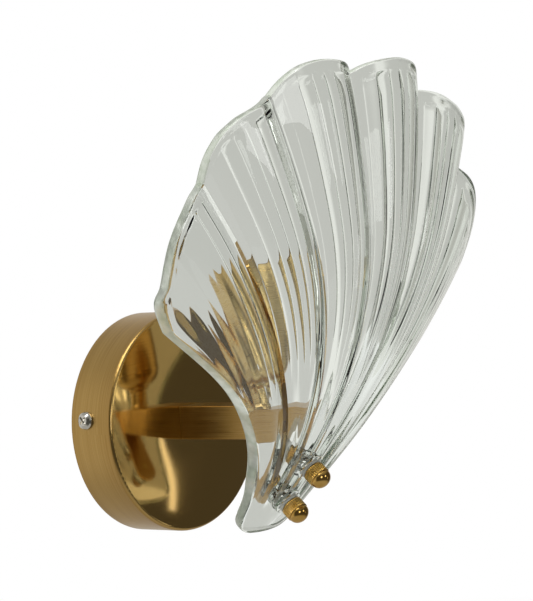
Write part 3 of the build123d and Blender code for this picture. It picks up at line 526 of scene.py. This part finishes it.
def share_of(place):
    """The place inside its own lobe, 0 to 1; the last lobe is wider, and the rim cuts it."""
    last = LOBES_A_SIDE - 1
    far = np.abs(place)
    return np.where(far > last, (far - last) / LAST_SPREAD, far % 1.0)


def smooth_through(points, at):
    """A curve through (place, value) points: cubic pieces whose slopes come from the neighbours."""
    where, value = np.array(points, float).T
    slope = np.gradient(value, where)
    at = np.clip(at, where[0], where[-1])
    piece = np.clip(np.searchsorted(where, at) - 1, 0, len(where) - 2)
    gap = where[piece + 1] - where[piece]
    t = (at - where[piece]) / gap
    return (value[piece] * (1 + 2 * t) * (1 - t) ** 2 + value[piece + 1] * t**2 * (3 - 2 * t)
            + gap * (slope[piece] * t * (1 - t) ** 2 - slope[piece + 1] * t**2 * (1 - t)))


def rim_up(place):
    """The rim's height at a place, each lobe on a curve of its own, so that valleys stay sharp."""
    far = np.abs(place)
    made = smooth_through(RIM_LOBES[0], far)
    for lobe in RIM_LOBES[1:]:
        made = np.where(far > lobe[0][0], smooth_through(lobe, far), made)
    return made


def edge_x(up):
    """The lower edge's distance from the middle at a height, from the tab's foot to the tip."""
    tip_x = float(side(np.float64(TIP_PLACE), TIP_UP))
    return smooth_through((*LOWER_EDGE, (TIP_UP, tip_x)), up)


print("first lobe's rim", round(float(rim_up(0.5)), 1), "mm up")

# %% [markdown]
# The tab's end is cut square to the studs and rounded at its corners. A height along the tab is
# measured in the clamp's own plane, which touches the glass halfway between the studs.

# %% The clamp's plane and the tab's end
CLAMP_SLOPE = (BELLY_UP - STUD_MIDDLE_UP) / LOWER_RADIUS
CLAMP_OUT = float(valley_out(0.0, np.float64(STUD_MIDDLE_UP)))
along_out, along_up = np.array([CLAMP_SLOPE, 1.0]) / math.hypot(CLAMP_SLOPE, 1.0)
TAB_AXIS = np.array([0.0, -along_out, along_up])
STUD_AXIS = np.array([0.0, -along_up, -along_out])


def along_tab(x, up):
    """Distance up the clamp's plane from halfway between the studs to a point on the valleys."""
    return (valley_out(x, up) - CLAMP_OUT) * along_out + (up - STUD_MIDDLE_UP) * along_up


def foot_up(x):
    """The height where the tab ends at x: straight in the middle, then a quarter circle."""
    corner_x = LOWER_EDGE[1][1] - TAB_CORNER
    over = np.clip(np.abs(x) - corner_x, 0.0, TAB_CORNER)
    goal = -TAB_END + TAB_CORNER - np.sqrt(TAB_CORNER**2 - over**2)
    up = np.full(x.shape, TAB_UP)
    step = 0.1
    for _ in range(NEWTON_STEPS):
        slope = (along_tab(x, up + step) - along_tab(x, up - step)) / (2 * step)
        up = up - (along_tab(x, up) - goal) / slope
    return up


print("clamp plane", round(CLAMP_OUT, 2), "mm out, leaning", round(math.degrees(math.atan(CLAMP_SLOPE)), 1))

# %% [markdown]
# ## The shell's grid
# Columns follow the valleys up from the tab to the rim, and rows cross them. Near every border
# both are packed within the depth of the edge's rounding, so that the edge has its own shape.

# %% The shell's grid
EDGE_STEPS = np.array([0.0, 0.02, 0.07, 0.18, 0.4, 0.75, 1.2, 1.8, 2.6])   # mm from the border
ROW_STEPS = np.append(EDGE_STEPS, [3.5, 4.3, 5.0, 5.7, 6.5])               # and for the rows
COLUMNS_A_LOBE, FLUTES_A_LOBE = 64, 8
GROOVE_PULL = 0.1            # draws the columns towards the flutes' grooves, so these stay narrow
OUTER_COLUMNS = 30
ROWS = 88
SIDE_PLACE = 2.3             # beyond it the columns lean towards the lower edge
BORDER_ROUNDS = 12           # a column's ends and its slant move each other, and settle in this many


def shell_grid():
    """Side, height and place of each grid point, as arrays of rows by columns. A column at a
    fixed place runs straight up its line; one beyond SIDE_PLACE keeps its share of the way, or
    its distance in mm, to the border."""
    fixed = np.arange(0, SIDE_PLACE + 1e-9, 1 / COLUMNS_A_LOBE)
    fixed = fixed - GROOVE_PULL * np.sin(2 * math.pi * FLUTES_A_LOBE * fixed) / FLUTES_A_LOBE
    shares = np.linspace(0, 1, OUTER_COLUMNS + 1)[1:]
    by_share = slice(len(fixed), len(fixed) + len(shares))
    by_distance = slice(by_share.stop, None)

    def column_x(up):
        edge = np.where(up < TIP_UP, edge_x(up), side(TIP_PLACE, up))
        inner = side(fixed, up[..., :len(fixed)])
        start = side(SIDE_PLACE, up[..., by_share])
        middle = start + (edge[..., by_share] - EDGE_STEPS[-1] - start) * shares
        outer = edge[..., by_distance] - EDGE_STEPS[-2::-1]
        return np.concatenate([inner, middle, outer], -1)

    count = by_share.stop + len(EDGE_STEPS) - 1
    foot, top = np.full(count, TAB_UP), np.full(count, 100.0)
    for _ in range(BORDER_ROUNDS):
        foot = foot_up(column_x(foot))
        top = rim_up(place_of(column_x(top), top))
    run = top - foot
    steps = np.linspace(0, 1, ROWS)[:, None]
    ups = foot + ROW_STEPS[-1] + (run - 2 * ROW_STEPS[-1]) * steps
    ups = np.concatenate([foot + ROW_STEPS[:-1, None], ups, top - ROW_STEPS[-2::-1, None]])
    x = column_x(ups)
    place = place_of(x, ups)
    mirrored = slice(None, 0, -1)
    both = [np.concatenate([-a[:, mirrored], a], 1) for a in (x, place)]
    ups = np.concatenate([ups[:, mirrored], ups], 1)
    return both[0], ups, both[1]


shell_x, shell_up, shell_place = shell_grid()
print("shell grid", shell_x.shape)

# %% [markdown]
# ## The shell's section
# Across a lobe the glass climbs a straight flank, turns a small corner and runs nearly flat to the
# next one, so each valley is sharp. The inside follows it with softer corners, and with fine
# flutes that draw what lies behind into streaks.

# %% The shell's section
FLANK_SHARE = 0.25           # of a lobe's width
LOBE_START = (-20.0, 24.0)   # mm along the tab, over which the lobes rise out of the flat tab
OUTER_CORNER, INNER_CORNER = 5.0, 3.0
FLUTE_DEPTH, FLUTE_POWER = 0.34, 0.5
FLUTE_UNEVEN, FLUTE_PHASE = 0.3, 2.4           # share of the depth that differs, and radians a flute
FLUTE_START, FLUTE_FULL = 45.0, 85.0           # mm from the fan's root


def swell(share, corner):
    """A lobe's cross-section, 0 in the valleys and near 1 between the flanks: the power mean of
    the flank's straight slope and 1, which turns more sharply the higher corner is."""
    slope = np.maximum(np.minimum(share, 1 - share), 1e-4) / FLANK_SHARE
    return (slope**-corner + 1) ** (-1 / corner)


def ease(value, start, full):
    """0 up to start, 1 from full on, and a smooth step between them."""
    t = np.clip((value - start) / (full - start), 0, 1)
    return t * t * (3 - 2 * t)


def flute_depth(place):
    """How far the inside stands out between two grooves: a power of |sin|, so that it is round
    there and the grooves are narrow, times a depth that a sine changes from flute to flute."""
    count = FLUTES_A_LOBE * place
    uneven = 1 - FLUTE_UNEVEN * (0.5 + 0.5 * np.sin(FLUTE_PHASE * np.floor(count + 1e-6)))
    return FLUTE_DEPTH * uneven * np.abs(np.sin(math.pi * count)) ** FLUTE_POWER


print("deepest flute", round(float(flute_depth(shell_place).max()), 2), "mm")

# %% [markdown]
# ## The shell's wall
# The press pulls apart straight away from the wall, so that is the direction of the glass's
# thickness and of its edge face. At the tab it is the studs' direction instead. Near the border
# both sides close in on the middle of the wall along a rounded edge.

# %% The shell's wall
EDGE_POWER, EDGE_DEPTH = 3.2, 1.6
INSIDE_START, INSIDE_FULL = 4.6, 7.6           # mm from the border, where the inside takes its own shape
PRESS_START, PRESS_FULL = -0.6 * TAB_END, 0.2 * TAB_END        # mm along the tab, where the way turns
PRESS_AXIS = np.array([0.0, -1.0, 0.0])


def distance_to_border(points):
    """Distance of each grid point to the closed line of border points: the least distance to any
    of its straight pieces, by whole arrays, a row of the grid at a time."""
    border = np.concatenate([points[0], points[1:, -1], points[-1, -2::-1], points[-2:0:-1, 0]])
    ends = np.roll(border, -1, axis=0)
    along = ends - border
    length2 = np.maximum((along**2).sum(-1), 1e-12)
    made = np.full(points.shape[:2], 99.0)
    for number, row in enumerate(points):
        offset = row[:, None] - border
        t = np.clip((offset * along).sum(-1) / length2, 0, 1)
        made[number] = np.sqrt(((offset - t[..., None] * along) ** 2).sum(-1).min(-1))
    return made


def wall_back(x, up):
    """The way back through the wall: the press's direction, or square to the tab near its end,
    and as long as gives a thickness of 1 square to the valleys' surface."""
    step = 0.5
    lean_x = (valley_out(x + step, up) - valley_out(x - step, up)) / (2 * step)
    lean_up = (valley_out(x, up + step) - valley_out(x, up - step)) / (2 * step)
    normal = np.stack([-lean_x, -np.ones(x.shape), -lean_up], -1)
    normal /= np.linalg.norm(normal, axis=-1, keepdims=True)
    pressed = ease(along_tab(x, up), PRESS_START, PRESS_FULL)[..., None]
    back = PRESS_AXIS * pressed + STUD_AXIS * (1 - pressed)
    return back / (back * normal).sum(-1, keepdims=True)


def shell_sides():
    """Outer and inner points. A base point is the valleys' surface, the lobe lifts it straight
    out, and the wall goes back from it. The edge is a power curve of the border's distance."""
    x, up = shell_x, shell_up
    back, share = wall_back(x, up), share_of(shell_place)
    height = bulge(x, up) * ease(along_tab(x, up), *LOBE_START)
    outside, inside = swell(share, OUTER_CORNER), swell(share, INNER_CORNER)
    base = np.stack([x, -valley_out(x, up), up], -1)
    skin = base + PRESS_AXIS * (height * outside)[..., None]
    depth = distance_to_border(skin)
    rounding = 1 - np.minimum(depth / EDGE_DEPTH, 1.0)
    half = WALL / 2 * (1 - rounding**EDGE_POWER) ** (1 / EDGE_POWER)
    free = ease(depth, INSIDE_START, INSIDE_FULL)
    fade = ease(np.hypot(x, up - FAN_UP), FLUTE_START, FLUTE_FULL)
    flutes = flute_depth(shell_place) * fade * free
    lift = height * (outside + (inside - outside) * free)
    outer = skin - back * (WALL / 2 - half)[..., None]
    inner = base + PRESS_AXIS * lift[..., None] - back * (WALL / 2 + half + flutes)[..., None]
    return outer, inner, depth


outer_side, inner_side, border_depth = shell_sides()
print("shell", round(float(np.ptp(outer_side[..., 0])), 1), "mm wide")

# %% [markdown]
# ## The shell's mesh
# The two sides are grids of the same size that share their border points, so together they are one
# closed skin. The faces nearest the border have the edge's own finish.

# %% The shell's mesh
EDGE_BAND = 0.5              # mm from the border


def closed_skin(outer, inner):
    """Points and faces of a closed sheet: the two grids share their border points."""
    rows, columns = outer.shape[:2]
    count = rows * columns
    front = np.arange(count).reshape(rows, columns)
    back = front + count
    for line in (np.s_[0, :], np.s_[-1, :], np.s_[:, 0], np.s_[:, -1]):
        back[line] = front[line]
    quads = [front[:-1, :-1], front[:-1, 1:], front[1:, 1:], front[1:, :-1]]
    backs = [back[:-1, :-1], back[1:, :-1], back[1:, 1:], back[:-1, 1:]]
    faces = np.concatenate([np.stack(q, -1).reshape(-1, 4) for q in (quads, backs)])
    return np.concatenate([outer.reshape(-1, 3), inner.reshape(-1, 3)]), faces


def mesh_object(name, points, faces):
    """A mesh object from points in mm and faces, with its loose points dropped."""
    used, faces = np.unique(faces, return_inverse=True)
    faces = faces.reshape(-1, 4)
    mesh = bpy.data.meshes.new(name)
    mesh.from_pydata((points[used] * MM).tolist(), [], faces.tolist())
    mesh.validate()
    made = bpy.data.objects.new(name, mesh)
    scene.collection.objects.link(made)
    return made


shell = mesh_object("fluted_glass_shell", *closed_skin(outer_side, inner_side))
near = (border_depth[:-1, :-1] + border_depth[1:, 1:]) / 2 < EDGE_BAND
shell.data.materials.append(finishes["clear_glass"])
shell.data.materials.append(finishes["glass_edge"])
shell.data.polygons.foreach_set("material_index", np.tile(near.ravel(), 2).astype(np.int32))
print("shell", len(shell.data.polygons), "faces")

# %% [markdown]
# ## Pads and holes
# Two holes pass through the tab, each in a flat round pad that the press left for the nut's
# washer. The pads are added and the holes cut as solids, in the direction of the studs. What is
# turned, here and on the nuts, is a profile carried round a stud's line.

# %% Pads and holes
PAD_RADIUS, PAD_PROUD, PAD_EDGE = 6.6, 1.2, 1.0
HOLE_RADIUS, HOLE_CLEAR = 3.2, 1.0             # the tool stands out of the pad by the second
TOOL_SPOKES = 64
SHARP_ANGLE = 26             # degrees: valleys and the flutes' grooves stay sharp, the rest is smooth
STUD_MIDDLE = np.array([0.0, -CLAMP_OUT, STUD_MIDDLE_UP])
STUD_PLACES = [STUD_MIDDLE + way * STUD_SPACING / 2 * TAB_AXIS for way in (1, -1)]


def merged(made, apart=1e-6):
    """Welds doubled points, drops what has no area, and turns all faces outwards."""
    work = bmesh.new()
    work.from_mesh(made.data)
    bmesh.ops.remove_doubles(work, verts=work.verts, dist=apart)
    bmesh.ops.dissolve_degenerate(work, dist=apart, edges=work.edges)
    bmesh.ops.recalc_face_normals(work, faces=work.faces)
    work.to_mesh(made.data)
    work.free()


def turned(name, foot, height, radius, spokes):
    """A turned solid on a stud's line: each row is a ring with a height along the line from a foot
    point, and a radius, which may change round it. A row of radius 0 closes each end."""
    turn = np.linspace(0, 2 * math.pi, spokes, endpoint=False)[:, None]
    sideways = np.array([1.0, 0.0, 0.0])
    spoke = np.cos(turn) * sideways + np.sin(turn) * np.cross(STUD_AXIS, sideways)
    rings = foot + height[:, None, None] * STUD_AXIS + radius[..., None] * spoke
    number = np.arange(len(height) * spokes).reshape(len(height), spokes)
    beside = np.roll(number, -1, axis=1)
    faces = np.stack([number[:-1], beside[:-1], beside[1:], number[1:]], -1).reshape(-1, 4)
    made = mesh_object(name, rings.reshape(-1, 3), faces)
    merged(made)
    return made


def boolean(made, tool, operation):
    """Joins or cuts one solid with another, at once, and removes the tool."""
    step = made.modifiers.new(operation, "BOOLEAN")
    step.operation, step.solver, step.object = operation, "MANIFOLD", tool
    graph = bpy.context.evaluated_depsgraph_get()
    result = bpy.data.meshes.new_from_object(made.evaluated_get(graph))
    made.modifiers.clear()
    made.data = result
    bpy.data.objects.remove(tool)


def shaded(made, sharp_angle):
    """Smooth all over, but for the edges that turn by more than an angle in degrees."""
    made.data.shade_smooth()
    made.data.set_sharp_from_angle(angle=math.radians(sharp_angle))


def pad_profile():
    """Half section of a pad, (radius, height): closed in the middle, with both rims rounded by a
    quarter circle."""
    low, high = -WALL - PAD_PROUD, PAD_PROUD
    bend = np.linspace(0, math.pi / 2, 5)
    top = np.stack([PAD_RADIUS - PAD_EDGE + PAD_EDGE * np.cos(bend),
                    high - PAD_EDGE + PAD_EDGE * np.sin(bend)], -1)
    bottom = np.stack([top[::-1, 0], low + high - top[::-1, 1]], -1)
    return np.concatenate([[[0, low]], bottom, top, [[0, high]]])


def hole_profile():
    """Half section of the tool that cuts a hole: a plain cylinder, longer than the pad is thick."""
    low, high = -WALL - PAD_PROUD - HOLE_CLEAR, PAD_PROUD + HOLE_CLEAR
    return np.array([(0, low), (HOLE_RADIUS, low), (HOLE_RADIUS, high), (0, high)])


merged(shell)
for profile, operation in ((pad_profile(), "UNION"), (hole_profile(), "DIFFERENCE")):
    for place in STUD_PLACES:
        tool = turned("tool", place, profile[:, 1], profile[:, :1], TOOL_SPOKES)
        boolean(shell, tool, operation)
shaded(shell, SHARP_ANGLE)
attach(shell, "root")
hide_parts("glass_shell")
print("shell with pads", len(shell.data.polygons), "faces")

# %% [markdown]
# ## Ball nuts
# Each nut is turned from the bar: a short foot, a knurled barrel, a groove and a domed end. The
# knurl is the barrel's radius taken down in narrow straight grooves. It is hollow where the stud
# enters, as the solid is.

# %% Ball nuts
NUT_RADIUS, NUT_BORE, NUT_THREAD = 5.05, 2.12, 7.0
BORE_TIP = 0.8               # mm that the drill's point went on past the thread
FOOT_HEIGHT, FOOT_IN, FOOT_TOP_IN = 0.3, 0.7, 0.35             # the last two are steps in from the barrel
KNURL_FROM, KNURL_TO, KNURL_TEETH, KNURL_DEPTH = 0.7, 5.1, 30, 0.35
KNURL_POWER, POINTS_A_TOOTH, BARREL_ROWS = 0.7, 10, 8
GROOVE_UP, GROOVE_IN = 0.25, 0.45              # past the knurl, and in from the barrel
DOME_FROM, DOME_RADIUS, DOME_HEIGHT = 5.5, 4.75, 4.1
NUT_SHARP_ANGLE = 60
WASHER_THICK = 1.2


def nut_profile():
    """Heights up the nut, and radii by height and angle. The dome is a quarter ellipse. Between
    the barrel's first and last rows the radius is lessened by the knurl's depth times 1 less a
    power of |sin| of half the tooth angle, so that the teeth are round and the grooves sharp."""
    bend = np.linspace(0, math.pi / 2, 14)
    foot = [(NUT_THREAD + BORE_TIP, 0), (NUT_THREAD, NUT_BORE), (0, NUT_BORE),
            (0, NUT_RADIUS - FOOT_IN), (FOOT_HEIGHT, NUT_RADIUS - FOOT_TOP_IN)]
    barrel = [(height, NUT_RADIUS) for height in np.linspace(KNURL_FROM, KNURL_TO, BARREL_ROWS)]
    groove = [(KNURL_TO + GROOVE_UP, NUT_RADIUS - GROOVE_IN)]
    dome = np.stack([DOME_FROM + DOME_HEIGHT * np.sin(bend), DOME_RADIUS * np.cos(bend)], -1)
    height, radius = np.concatenate([foot, barrel, groove, dome]).T
    knurled = np.zeros(len(height))
    knurled[len(foot) + 1:len(foot) + BARREL_ROWS - 1] = KNURL_DEPTH
    turn = np.linspace(0, 2 * math.pi, KNURL_TEETH * POINTS_A_TOOTH, endpoint=False)
    cut = 1 - np.abs(np.sin(KNURL_TEETH * turn / 2)) ** KNURL_POWER
    return height, radius[:, None] - knurled[:, None] * cut


nut_height, nut_radii = nut_profile()
for level, place in zip(("upper", "lower"), STUD_PLACES):
    seat = place + STUD_AXIS * (PAD_PROUD + WASHER_THICK)
    nut = turned(f"knurled_nut_{level}", seat, nut_height, nut_radii, nut_radii.shape[1])
    shaded(nut, NUT_SHARP_ANGLE)
    nut.data.materials.append(finishes["polished_brass"])
    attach(nut, f"nut_{level}")
    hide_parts(f"ball_nut_{level}")
print("nut", len(nut.data.polygons), "faces")

# %% [markdown]
# ## Dressing the frame
# The pieces whose solid is already right get their finish by the slot that the record names. The
# canopy is brass like the arm, but spun, and the lampholder's cup and collar were turned; their
# brass is painted paler, as painted light.

# %% Dressing the frame
own_finish = {"canopy": "spun_brass", "lampholder_cup": "turned_brass_painted_lit", "lampholder_collar": "turned_brass_painted_lit"}
for name, node in nodes.items():
    node.data.materials.clear()
    node.data.materials.append(finishes[own_finish.get(name, slot_of[name])])
print("dressed", len(nodes), "nodes")
